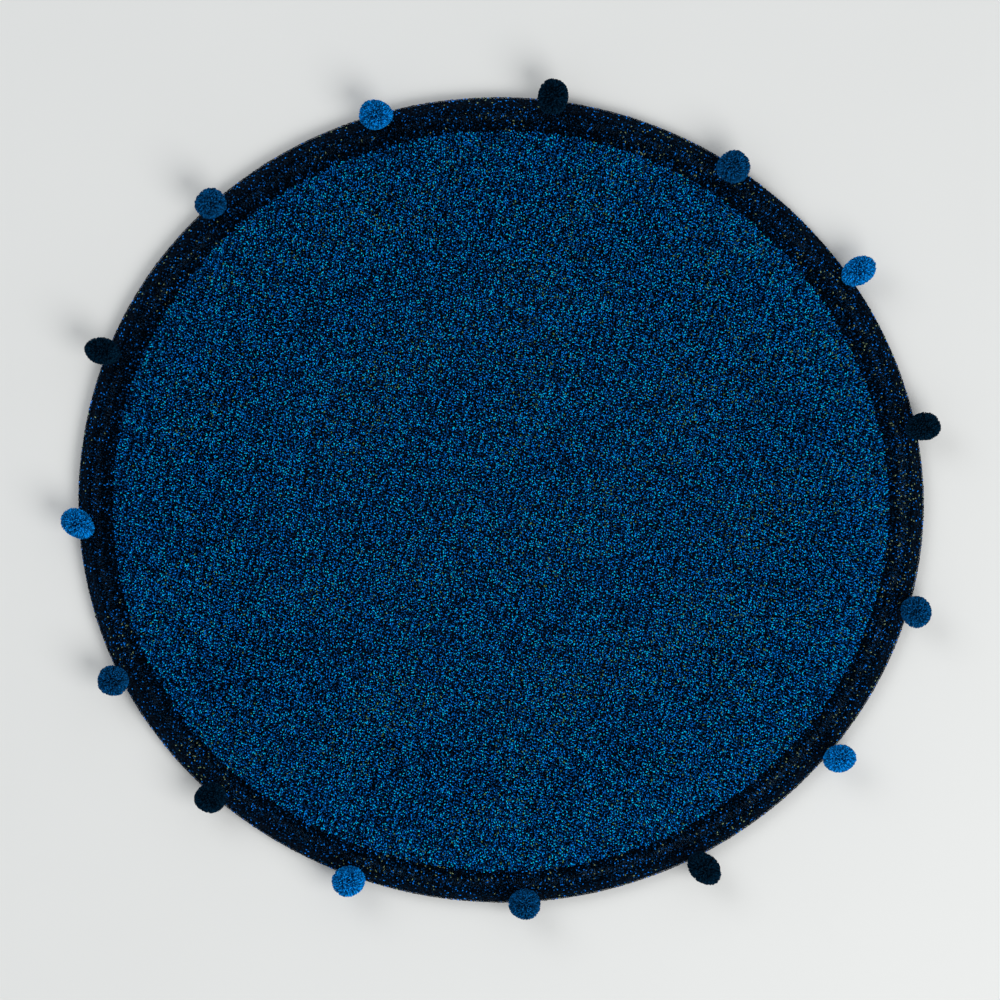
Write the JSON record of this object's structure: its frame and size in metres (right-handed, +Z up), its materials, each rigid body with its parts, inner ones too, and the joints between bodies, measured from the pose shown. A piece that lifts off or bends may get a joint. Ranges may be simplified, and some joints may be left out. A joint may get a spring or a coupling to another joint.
{
  "type": "seat cushion",
  "caption": "Low, slightly oval seat cushion with a deep-pile navy top, a darker border ring, pompoms round the edge and a zipped non-slip underside.",
  "frame": {"origin": "centre of the underside, in the plane of the feet of the non-slip dots", "axes": "+Z up through the crown, +X along the wide way of the oval, -Y towards the front edge; the zip is in the rear half of the underside"},
  "size_m": [0.4148, 0.397, 0.027],
  "materials": {
    "navy_pile": "cut and looped pile, deep navy with lighter tips",
    "black_navy_pile": "cut and looped pile, near-black navy",
    "backing_cloth": "woven backing",
    "liner_cotton": "plain woven cotton",
    "polyester_wadding": "soft fibre fill",
    "foam": "open-cell foam",
    "underside_canvas": "plain woven canvas",
    "binding_tape": "twill tape",
    "dark_thread": "twisted sewing thread",
    "label_satin": "satin ribbon, blank",
    "zip_tape": "herringbone tape",
    "pompom_yarn_bright": "cut yarn, bright blue",
    "pompom_yarn_mid": "cut yarn, mid navy",
    "pompom_yarn_dark": "cut yarn, near-black",
    "silicone": "matte silicone",
    "zip_nylon": "nylon coil",
    "zip_metal": "dark nickel"
  },
  "bodies": {
    "pad": {"field_pile": "navy_pile", "field_backing_cloth": "backing_cloth", "border_pile": "black_navy_pile", "border_backing_cloth": "backing_cloth", "field_seam_thread": "dark_thread", "liner_top": "liner_cotton", "liner_bottom": "liner_cotton", "wadding_top": "polyester_wadding", "wadding_bottom": "polyester_wadding", "foam_core": "foam", "bottom_panel_front": "underside_canvas", "bottom_panel_rear": "underside_canvas", "panel_seam_thread": "dark_thread", "rim_binding": "binding_tape", "rim_seam_thread": "dark_thread", "non_slip_dots_front": "silicone", "non_slip_dots_rear": "silicone", "label_stitching": "dark_thread", "zip_tape_front": "zip_tape", "zip_tape_rear": "zip_tape", "zip_coil_front": "zip_nylon", "zip_coil_rear": "zip_nylon", "zip_stops": "zip_metal", "zip_topstitching": "dark_thread", "pompom_anchor_stitches": "dark_thread"},
    "zip_slider": {"zip_slider": "zip_metal"},
    "zip_pull": {"zip_pull": "zip_metal"},
    "care_label": {"care_label": "label_satin"},
    "pompom_01": {"pompom_01_ball": "pompom_yarn_bright", "pompom_01_tie": "dark_thread"},
    "pompom_02": {"pompom_02_ball": "pompom_yarn_dark", "pompom_02_tie": "dark_thread"},
    "pompom_03": {"pompom_03_ball": "pompom_yarn_mid", "pompom_03_tie": "dark_thread"},
    "pompom_04": {"pompom_04_ball": "pompom_yarn_bright", "pompom_04_tie": "dark_thread"},
    "pompom_05": {"pompom_05_ball": "pompom_yarn_dark", "pompom_05_tie": "dark_thread"},
    "pompom_06": {"pompom_06_ball": "pompom_yarn_mid", "pompom_06_tie": "dark_thread"},
    "pompom_07": {"pompom_07_ball": "pompom_yarn_bright", "pompom_07_tie": "dark_thread"},
    "pompom_08": {"pompom_08_ball": "pompom_yarn_dark", "pompom_08_tie": "dark_thread"},
    "pompom_09": {"pompom_09_ball": "pompom_yarn_mid", "pompom_09_tie": "dark_thread"},
    "pompom_10": {"pompom_10_ball": "pompom_yarn_bright", "pompom_10_tie": "dark_thread"},
    "pompom_11": {"pompom_11_ball": "pompom_yarn_dark", "pompom_11_tie": "dark_thread"},
    "pompom_12": {"pompom_12_ball": "pompom_yarn_mid", "pompom_12_tie": "dark_thread"},
    "pompom_13": {"pompom_13_ball": "pompom_yarn_bright", "pompom_13_tie": "dark_thread"},
    "pompom_14": {"pompom_14_ball": "pompom_yarn_dark", "pompom_14_tie": "dark_thread"},
    "pompom_15": {"pompom_15_ball": "pompom_yarn_mid", "pompom_15_tie": "dark_thread"}
  },
  "joints": [
    {"name": "zip_run", "type": "slide", "parent": "pad", "child": "zip_slider", "axis": [1, 0, 0], "range_m": [-0.227, 0]},
    {"name": "pull_flip", "type": "hinge", "parent": "zip_slider", "child": "zip_pull", "pos_m": [0.117, 0.06, 0.00068], "axis": [0, -1, 0], "range_deg": [0, 170]},
    {"name": "label_flip", "type": "hinge", "parent": "pad", "child": "care_label", "pos_m": [-0.146, 0.0596, 0.0004], "axis": [1, 0, 0], "range_deg": [0, 170]},
    {"name": "pompom_01_swing", "type": "hinge", "parent": "pad", "child": "pompom_01", "pos_m": [-0.05898, 0.18265, 0.00665], "axis": [-0.9596, -0.2812, 0], "range_deg": [-19.84, 83.16], "stiffness_Nm_per_rad": 0.0004},
    {"name": "pompom_02_swing", "type": "hinge", "parent": "pad", "child": "pompom_02", "pos_m": [0.02496, 0.18962, 0.00665], "axis": [-0.9929, 0.1186, 0], "range_deg": [-29.51, 73.49], "stiffness_Nm_per_rad": 0.0004},
    {"name": "pompom_03_swing", "type": "hinge", "parent": "pad", "child": "pompom_03", "pos_m": [0.11129, 0.15899, 0.00665], "axis": [-0.8441, 0.5362, 0], "range_deg": [-12.01, 90.99], "stiffness_Nm_per_rad": 0.0004},
    {"name": "pompom_04_swing", "type": "hinge", "parent": "pad", "child": "pompom_04", "pos_m": [0.16673, 0.10625, 0.00665], "axis": [-0.5747, 0.8184, 0], "range_deg": [-44.02, 58.98], "stiffness_Nm_per_rad": 0.0004},
    {"name": "pompom_05_swing", "type": "hinge", "parent": "pad", "child": "pompom_05", "pos_m": [0.19738, 0.0341, 0.00665], "axis": [-0.187, 0.9824, 0], "range_deg": [-38.65, 64.35], "stiffness_Nm_per_rad": 0.0004},
    {"name": "pompom_06_swing", "type": "hinge", "parent": "pad", "child": "pompom_06", "pos_m": [0.1931, -0.05176, 0.00665], "axis": [0.2832, 0.959, 0], "range_deg": [-46.07, 56.93], "stiffness_Nm_per_rad": 0.0004},
    {"name": "pompom_07_swing", "type": "hinge", "parent": "pad", "child": "pompom_07", "pos_m": [0.15687, -0.11911, 0.00665], "axis": [0.6417, 0.767, 0], "range_deg": [-56.12, 46.88], "stiffness_Nm_per_rad": 0.0004},
    {"name": "pompom_08_swing", "type": "hinge", "parent": "pad", "child": "pompom_08", "pos_m": [0.09395, -0.16885, 0.00665], "axis": [0.8926, 0.4508, 0], "range_deg": [-63.17, 39.83], "stiffness_Nm_per_rad": 0.0004},
    {"name": "pompom_09_swing", "type": "hinge", "parent": "pad", "child": "pompom_09", "pos_m": [0.01167, -0.19078, 0.00665], "axis": [0.9985, 0.0554, 0], "range_deg": [-24.36, 78.64], "stiffness_Nm_per_rad": 0.0004},
    {"name": "pompom_10_swing", "type": "hinge", "parent": "pad", "child": "pompom_10", "pos_m": [-0.07109, -0.1787, 0.00665], "axis": [0.9406, -0.3396, 0], "range_deg": [-32.75, 70.25], "stiffness_Nm_per_rad": 0.0004},
    {"name": "pompom_11_swing", "type": "hinge", "parent": "pad", "child": "pompom_11", "pos_m": [-0.13631, -0.14021, 0.00665], "axis": [0.7499, -0.6616, 0], "range_deg": [-26.29, 76.71], "stiffness_Nm_per_rad": 0.0004},
    {"name": "pompom_12_swing", "type": "hinge", "parent": "pad", "child": "pompom_12", "pos_m": [-0.18016, -0.08404, 0.00665], "axis": [0.4571, -0.8894, 0], "range_deg": [-41.99, 61.01], "stiffness_Nm_per_rad": 0.0004},
    {"name": "pompom_13_swing", "type": "hinge", "parent": "pad", "child": "pompom_13", "pos_m": [-0.20026, -0.0112, 0.00665], "axis": [0.0615, -0.9981, 0], "range_deg": [-19.2, 83.8], "stiffness_Nm_per_rad": 0.0004},
    {"name": "pompom_14_swing", "type": "hinge", "parent": "pad", "child": "pompom_14", "pos_m": [-0.18673, 0.06984, 0.00665], "axis": [-0.381, -0.9246, 0], "range_deg": [-29.51, 73.49], "stiffness_Nm_per_rad": 0.0004},
    {"name": "pompom_15_swing", "type": "hinge", "parent": "pad", "child": "pompom_15", "pos_m": [-0.13656, 0.13998, 0.00665], "axis": [-0.7487, -0.6629, 0], "range_deg": [-23.07, 79.93], "stiffness_Nm_per_rad": 0.0004}
  ]
}
